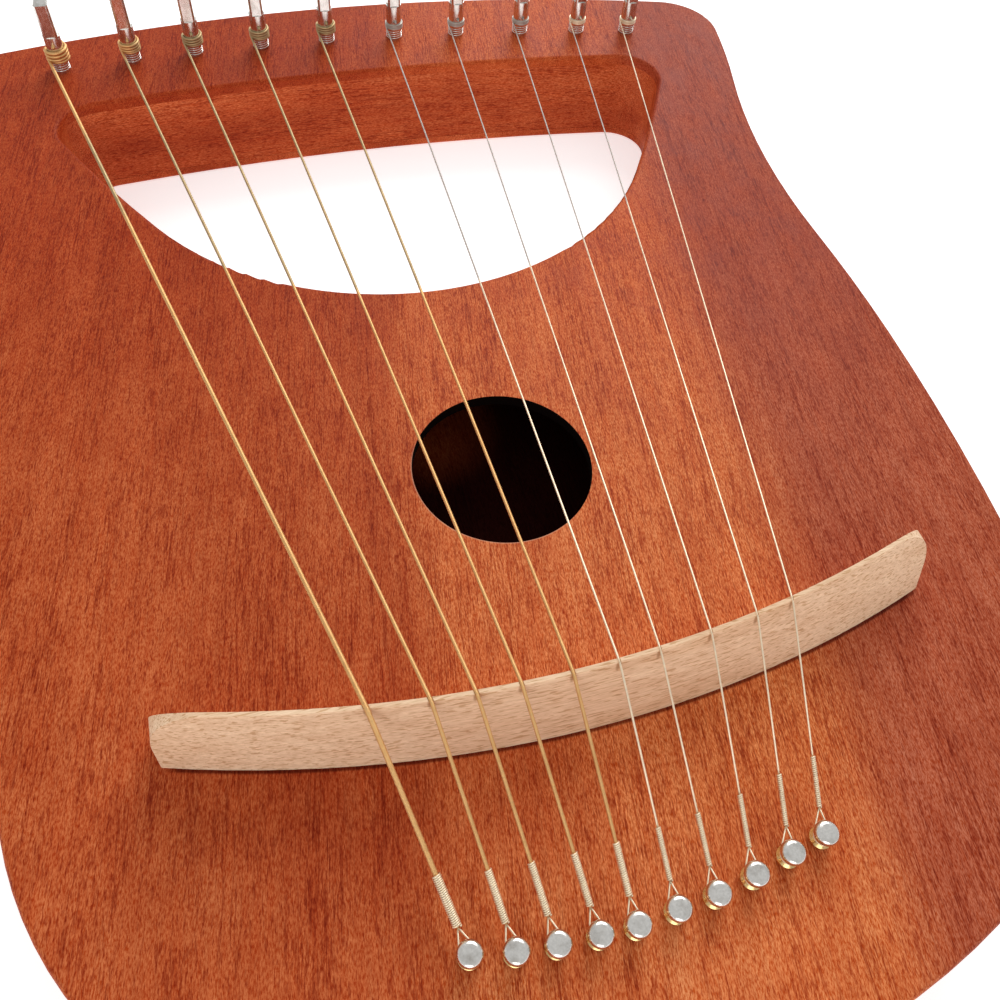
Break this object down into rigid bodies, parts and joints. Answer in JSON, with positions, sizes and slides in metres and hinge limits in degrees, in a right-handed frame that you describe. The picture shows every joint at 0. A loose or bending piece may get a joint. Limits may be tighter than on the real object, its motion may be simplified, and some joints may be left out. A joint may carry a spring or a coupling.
{
  "type": "lyre harp",
  "caption": "Small lyre harp: hollow mahogany body with a round sound hole, hand opening, curved beech bridge, wound and plain strings, and turning steel tuning pins.",
  "frame": {"origin": "under the middle of the body's length and width, on the surface it lies on", "axes": "+Z leaves the face, +Y runs from the tail to the yoke, +X is the treble side"},
  "size_m": [0.2582, 0.334, 0.051],
  "materials": {
    "mahogany": "satin open-pored mahogany",
    "beech": "bare sanded beech",
    "spruce": "bare spruce",
    "nickel_steel": "nickel plated",
    "brass": "bright",
    "bronze_wound": "fine bronze winding",
    "plain_steel": "bright drawn wire"
  },
  "bodies": {
    "lyre_body": {"back_plate": "mahogany", "tail_block": "mahogany", "bass_side": "mahogany", "treble_side": "mahogany", "waist_rail": "mahogany", "yoke": "mahogany", "upper_brace": "spruce", "lower_brace": "spruce", "bridge_patch": "spruce", "soundboard": "mahogany", "bridge": "beech", "hitch_pins": "nickel_steel", "string_rings": "brass", "string_1": "bronze_wound", "string_2": "bronze_wound", "string_3": "bronze_wound", "string_4": "bronze_wound", "string_5": "bronze_wound", "string_6": "plain_steel", "string_7": "plain_steel", "string_8": "plain_steel", "string_9": "plain_steel", "string_10": "plain_steel"},
    "pin_1": {"tuning_pin_1": "nickel_steel", "winding_1": "bronze_wound"},
    "pin_2": {"tuning_pin_2": "nickel_steel", "winding_2": "bronze_wound"},
    "pin_3": {"tuning_pin_3": "nickel_steel", "winding_3": "bronze_wound"},
    "pin_4": {"tuning_pin_4": "nickel_steel", "winding_4": "bronze_wound"},
    "pin_5": {"tuning_pin_5": "nickel_steel", "winding_5": "bronze_wound"},
    "pin_6": {"tuning_pin_6": "nickel_steel", "winding_6": "plain_steel"},
    "pin_7": {"tuning_pin_7": "nickel_steel", "winding_7": "plain_steel"},
    "pin_8": {"tuning_pin_8": "nickel_steel", "winding_8": "plain_steel"},
    "pin_9": {"tuning_pin_9": "nickel_steel", "winding_9": "plain_steel"},
    "pin_10": {"tuning_pin_10": "nickel_steel", "winding_10": "plain_steel"}
  },
  "joints": [
    {"name": "tuning_pin_1_turn", "type": "hinge", "parent": "lyre_body", "child": "pin_1", "pos_m": [-0.09429, 0.14167, 0.03], "axis": [0, 0, 1], "continuous": true},
    {"name": "tuning_pin_2_turn", "type": "hinge", "parent": "lyre_body", "child": "pin_2", "pos_m": [-0.07271, 0.14363, 0.03], "axis": [0, 0, 1], "continuous": true},
    {"name": "tuning_pin_3_turn", "type": "hinge", "parent": "lyre_body", "child": "pin_3", "pos_m": [-0.05319, 0.14476, 0.03], "axis": [0, 0, 1], "continuous": true},
    {"name": "tuning_pin_4_turn", "type": "hinge", "parent": "lyre_body", "child": "pin_4", "pos_m": [-0.03184, 0.14537, 0.03], "axis": [0, 0, 1], "continuous": true},
    {"name": "tuning_pin_5_turn", "type": "hinge", "parent": "lyre_body", "child": "pin_5", "pos_m": [-0.01001, 0.14534, 0.03], "axis": [0, 0, 1], "continuous": true},
    {"name": "tuning_pin_6_turn", "type": "hinge", "parent": "lyre_body", "child": "pin_6", "pos_m": [0.01288, 0.14457, 0.03], "axis": [0, 0, 1], "continuous": true},
    {"name": "tuning_pin_7_turn", "type": "hinge", "parent": "lyre_body", "child": "pin_7", "pos_m": [0.03418, 0.1432, 0.03], "axis": [0, 0, 1], "continuous": true},
    {"name": "tuning_pin_8_turn", "type": "hinge", "parent": "lyre_body", "child": "pin_8", "pos_m": [0.05665, 0.14104, 0.03], "axis": [0, 0, 1], "continuous": true},
    {"name": "tuning_pin_9_turn", "type": "hinge", "parent": "lyre_body", "child": "pin_9", "pos_m": [0.07672, 0.13845, 0.03], "axis": [0, 0, 1], "continuous": true},
    {"name": "tuning_pin_10_turn", "type": "hinge", "parent": "lyre_body", "child": "pin_10", "pos_m": [0.09451, 0.13559, 0.03], "axis": [0, 0, 1], "continuous": true}
  ]
}
